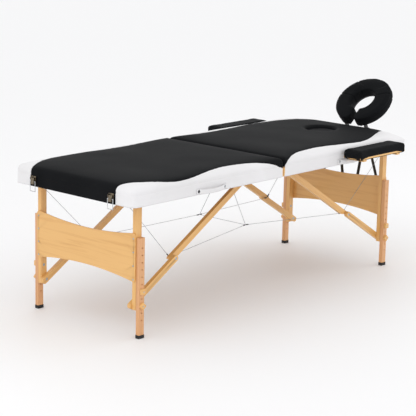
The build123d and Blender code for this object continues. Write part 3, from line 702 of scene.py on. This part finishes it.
BOARD_WRAP, ARMREST_SEAM_DROP = 0.0125, 0.007
for side in SIDES:
    source = f"{side}_armrest_pad"
    pad_low, pad_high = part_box(source)
    pad = inflated(f"{side}_armrest_cushion", source, voxel=0.005, inset=0.0012, cap=0.004,
                   material=black_vinyl, wrap=BOARD_WRAP)
    # The underside stays flat where the cover is tacked under its board.
    points = points_of(pad.data)
    points[:, 2] = np.maximum(points[:, 2], pad_low.z - BOARD_WRAP - BOTTOM_BAND)
    move_points(pad.data, points)
    sew(pad, lambda p, z=pad_high.z - ARMREST_SEAM_DROP: p[:, 2] - z, half_width=0.003, depth=0.0014,
        split=False)
    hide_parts(source)
    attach(pad, f"{side}_armrest")


# ---- Straps -------------------------------------------------------------------------------
def ribbon(name, centres, widths, thickness, material, ridges=5):
    """A flat strap through centre points, each with its half-width vector, with ribbed faces."""
    centres = np.array(centres, float)
    widths = np.array(widths, float)
    ahead = np.gradient(centres, axis=0)
    outward = np.cross(widths, ahead)
    outward /= np.linalg.norm(outward, axis=1)[:, None]
    spread = np.linspace(-1, 1, 2 * ridges + 1)
    swell = np.where(np.arange(len(spread)) % 2, 0.5, 0.42)
    swell[0] = swell[-1] = 0.22
    section = [(s, t) for s, t in zip(spread, swell)]
    section += [(s, -t) for s, t in zip(spread[::-1], swell[::-1])]
    rings = [[c + w * s + o * (t * thickness) for s, t in section]
             for c, w, o in zip(centres, widths, outward)]
    faces = tube_faces(len(rings), len(section))
    piece = new_piece(name, [p for ring in rings for p in ring], faces, material)
    form = bmesh.new()
    form.from_mesh(piece.data)
    bmesh.ops.recalc_face_normals(form, faces=form.faces)
    form.to_mesh(piece.data)
    form.free()
    return piece


def turned_disc(name, middle, axis, profile, material, steps=32):
    """A lathed piece: profile gives (radius, distance along the axis) from its middle outward."""
    axis = Vector(axis).normalized()
    side, other = crosswise(axis)
    points = []
    for radius, reach in profile:
        for i in range(steps):
            a = 2 * math.pi * i / steps
            around = (side * math.cos(a) + other * math.sin(a)) * radius
            points.append(Vector(middle) + axis * reach + around)
    piece = new_piece(name, points, tube_faces(len(profile), steps), material)
    piece.data.set_sharp_from_angle(angle=math.radians(35))
    return piece


HANDLE_INNER, HANDLE_SPAN = 0.396, 0.156
HANDLE_Z, HANDLE_HALF_HEIGHT = 0.572, 0.0105
HANDLE_SAG, HANDLE_BULGE, HANDLE_TAB = 0.005, 0.011, 0.014
HANDLE_THICK, HANDLE_OFF, HANDLE_STEPS = 0.0026, 0.0018, 44
SCREW_OFF = 0.0028
WASHER_PROFILE = [(0.0075, 0.0), (0.0075, 0.0009), (0.0068, 0.0013), (0.0036, 0.0014),
                  (0.0034, 0.0026), (0.0022, 0.0033), (0.0012, 0.0034)]
face_y = -HALF_WIDTH
for end, toward in ENDS.items():
    centres, widths = [], []
    for t in np.linspace(-HANDLE_TAB / HANDLE_SPAN, 1 + HANDLE_TAB / HANDLE_SPAN, HANDLE_STEPS):
        inside = min(max(t, 0), 1)
        arch = math.sin(math.pi * inside) ** 0.6 if 0 < inside < 1 else 0.0
        centres.append((FOLD_X + toward * (HANDLE_INNER + HANDLE_SPAN * t),
                        face_y - HANDLE_OFF - HANDLE_BULGE * arch, HANDLE_Z - HANDLE_SAG * arch))
        widths.append((0, 0, HANDLE_HALF_HEIGHT * (1 - 0.12 * arch)))
    strap = ribbon(f"{end}_handle_strap", centres, widths, HANDLE_THICK, white_vinyl, ridges=2)
    for place, material in ((0, zinc_steel), (1, dark_sleeve)):
        x = FOLD_X + toward * (HANDLE_INNER + HANDLE_SPAN * place)
        screw = turned_disc(f"{end}_handle_screw_{place + 1}", (x, face_y - SCREW_OFF, HANDLE_Z),
                            (0, -1, 0), WASHER_PROFILE, material)
        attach(screw, f"{end}_section")
    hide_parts(f"{end}_handle")
    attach(strap, f"{end}_section")


# ---- Arm sling below the head end ---------------------------------------------------------
SLING_X = FOLD_X + 0.958
SLING_HALF, SLING_BOTTOM, SLING_TOP_Z = 0.190, 0.300, 0.372
SLING_CORNER = 0.024
SLING_BELLY, SLING_WAVE, SLING_HEM, SLING_SWAG = 0.0035, 0.0012, 0.0008, 0.003
SLING_THICK, STRAP_THICK, LOOP_THICK = 0.0022, 0.0018, 0.002
STRAP_HALF, STRAP_LAP, STRAP_STEPS = 0.0085, 0.014, 18
LOOP_HALF, LOOP_GAP, LOOP_STEPS = 0.0088, 0.0022, 33
POST_Y, POST_Z, POST_RADIUS = 0.086, 0.577, 0.006
columns, rows = 76, 16
points, faces = [], []
for i in range(columns + 1):
    across = -1 + 2 * i / columns
    y = SLING_HALF * across
    tip = max(0.0, abs(y) - (SLING_HALF - SLING_CORNER))
    trim = SLING_CORNER - math.sqrt(max(SLING_CORNER ** 2 - tip ** 2, 0.0))
    for j in range(rows + 1):
        z = SLING_BOTTOM + trim + (SLING_TOP_Z - SLING_BOTTOM - 2 * trim) * j / rows
        belly = math.sin(math.pi * j / rows)
        hem = SLING_HEM * (j in (1, rows - 1))
        x = SLING_X - SLING_BELLY * belly * (1 - across ** 2) + SLING_WAVE * math.sin(9 * across) + hem
        points.append((x, y, z + SLING_SWAG * (across ** 2 - 1) * (1 - trim / SLING_CORNER)))
for i in range(columns):
    for j in range(rows):
        a = i * (rows + 1) + j
        faces.append((a, a + rows + 1, a + rows + 2, a + 1))
band = new_piece("arm_sling_band", points, faces, black_webbing)
thick = band.modifiers.new("thick", "SOLIDIFY")
thick.thickness = SLING_THICK
thick.offset = 0
applied(band)
sling_parts = []
for side, toward in SIDES.items():
    for place, low_y, turn in (("outer", 0.172, 1), ("inner", 0.042, -1)):
        high_y = POST_Y + turn * (POST_RADIUS + 0.004)
        centres, widths = [], []
        for t in np.linspace(0, 1, STRAP_STEPS):
            y = low_y + (high_y - low_y) * t
            z = SLING_TOP_Z - STRAP_LAP + (POST_Z - SLING_TOP_Z + STRAP_LAP) * t
            x = SLING_X - SLING_THICK + SLING_WAVE * math.sin(math.pi * t)
            centres.append((x, toward * y, z))
            widths.append((0, STRAP_HALF * (1 - 0.25 * t ** 3), 0))
        strap = ribbon(f"sling_strap_{side}_{place}", centres, widths, STRAP_THICK, black_webbing)
        sling_parts.append(strap)
    loop_centres, loop_widths = [], []
    reach = POST_RADIUS + LOOP_GAP
    for t in np.linspace(0, 2 * math.pi, LOOP_STEPS):
        y, z = toward * POST_Y + reach * math.cos(t), POST_Z + reach * math.sin(t)
        loop_centres.append((SLING_X, y, z))
        loop_widths.append((LOOP_HALF, 0, 0))
    loop = ribbon(f"sling_loop_{side}", loop_centres, loop_widths, LOOP_THICK, black_webbing)
    sling_parts.append(loop)
for piece in sling_parts:
    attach(piece, "headrest_frame")
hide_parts("arm_sling")
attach(band, "headrest_frame")


# ---- Steel cables between the braces -----------------------------------------------------------
CABLE = 0.002
STRAND_SIDES, STRAND_STEP, STRAND_TURN, STRAND_HOLLOW = 12, 0.006, 0.9, 0.86
# Each as (distance from the fold, distance from the middle, height).
KNEE, CORNER = (0.5935, 0.2295, 0.282), (0.875, 0.255, 0.559)
NODE, ANCHOR = (0.0, 0.138, 0.306), (0.0, 0.004, 0.554)


def cable_run(name, start, finish):
    """A taut wire rope with its strands laid round it."""
    start, finish = Vector(start), Vector(finish)
    axis = (finish - start).normalized()
    side, other = crosswise(axis)
    count = max(12, int((finish - start).length / STRAND_STEP))
    path = [start.lerp(finish, i / count) for i in range(count + 1)]
    points = []
    for i, middle in enumerate(path):
        for j in range(STRAND_SIDES):
            a = 2 * math.pi * j / STRAND_SIDES + i * STRAND_TURN
            reach = CABLE / 2 * (1 if j % 2 else STRAND_HOLLOW)
            points.append(middle + (side * math.cos(a) + other * math.sin(a)) * reach)
    piece = new_piece(name, points, tube_faces(count + 1, STRAND_SIDES), wire_rope)
    return piece


def sleeve(name, middle, axis, length, radius, material):
    """A crimped ferrule with two pinches."""
    half = length / 2
    profile = [(radius * 0.8, -half), (radius, -half * 0.9), (radius, -half * 0.5),
               (radius * 0.78, -half * 0.35), (radius, -half * 0.2), (radius, half * 0.2),
               (radius * 0.78, half * 0.35), (radius, half * 0.5), (radius, half * 0.9),
               (radius * 0.8, half)]
    return turned_disc(name, middle, axis, profile, material, 16)


def at(end, side, point):
    """A cable's point on one end (-1 or 1) and one side (-1 or 1) of the table."""
    return Vector((FOLD_X + end * point[0], side * point[1], point[2]))


for end, toward in ENDS.items():
    pieces = []
    for side, across in SIDES.items():
        stops = [at(toward, across, p) for p in (ANCHOR, NODE, KNEE, CORNER)]
        for i, run in enumerate(("drop", "span", "rise")):
            pieces.append(cable_run(f"{end}_{side}_cable_{run}", stops[i], stops[i + 1]))
        span = (stops[2] - stops[1]).normalized()
        rise = (stops[3] - stops[2]).normalized()
        # Each as (name, the point it is near, how far along the run, run, length, radius, material).
        for fitting, stop, shift, run, length, radius, material in (
                ("node_sleeve", stops[1], 0.010, span, 0.014, 0.0024, dark_sleeve),
                ("knee_sleeve", stops[2], -0.014, span, 0.016, 0.0026, dark_sleeve),
                ("rise_sleeve", stops[2], 0.014, rise, 0.016, 0.0026, dark_sleeve),
                ("corner_hook", stops[3], -0.030, rise, 0.022, 0.0030, bright_wire)):
            pieces.append(sleeve(f"{end}_{side}_{fitting}", stop + run * shift, run, length, radius,
                                 material))
    if end == "foot":
        pieces.append(cable_run("cross_cable", at(1, -1, NODE), at(1, 1, NODE)))
    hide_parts("support_cables")
    for piece in pieces:
        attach(piece, f"{end}_section")
        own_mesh(piece)


# ---- Floor, light and camera --------------------------------------------------------------------
FLOOR_REACH = 30
floor_paint, _, floor_shader = surface("floor", 0.6)
floor_shader.inputs["Base Color"].default_value = (0.93, 0.93, 0.94, 1)
floor_corners = [(FLOOR_REACH * x, FLOOR_REACH * y, 0) for x, y in ((-1, -1), (1, -1), (1, 1), (-1, 1))]
floor = new_piece("floor", floor_corners, [(0, 1, 2, 3)], floor_paint)

world = bpy.data.worlds.new("studio")
world.use_nodes = True
world.node_tree.nodes["Background"].inputs["Color"].default_value = (1.0, 1.0, 1.0, 1)
world.node_tree.nodes["Background"].inputs["Strength"].default_value = 1.0
bpy.context.scene.world = world


def soft_light(name, place, target, size, power):
    """A square area light at a place, aimed at a target."""
    data = bpy.data.lights.new(name, "AREA")
    data.shape = "SQUARE"
    data.size = size
    data.energy = power
    lamp = bpy.data.objects.new(name, data)
    lamp.location = place
    lamp.rotation_euler = (Vector(target) - Vector(place)).to_track_quat("-Z", "Y").to_euler()
    bpy.context.scene.collection.objects.link(lamp)


soft_light("key", (-3.4, -0.6, 2.8), (0, 0, 0.4), 2.4, 14)
soft_light("edge", (3.2, -1.6, 2.0), (0.9, 0, 0.6), 1.4, 10)

YAW, PITCH, ROLL = math.radians(41.607), math.radians(-12.742), math.radians(1.266)
forward = Vector((math.cos(YAW) * math.cos(PITCH), math.sin(YAW) * math.cos(PITCH), math.sin(PITCH)))
level_right = Vector((math.sin(YAW), -math.cos(YAW), 0))
level_up = level_right.cross(forward)
right = level_right * math.cos(ROLL) + level_up * math.sin(ROLL)
up = level_up * math.cos(ROLL) - level_right * math.sin(ROLL)
camera_data = bpy.data.cameras.new("camera")
camera_data.lens = 133.2
camera_data.sensor_width = 36
camera = bpy.data.objects.new("camera", camera_data)
bpy.context.scene.collection.objects.link(camera)
matrix = camera.matrix_world.to_3x3()
matrix.col[0], matrix.col[1], matrix.col[2] = right, up, -forward
camera.rotation_euler = matrix.to_euler()
camera.location = (FOLD_X - 5.1100, -4.4505, 1.8903)
bpy.context.scene.camera = camera
bpy.context.scene.view_settings.view_transform = "Standard"
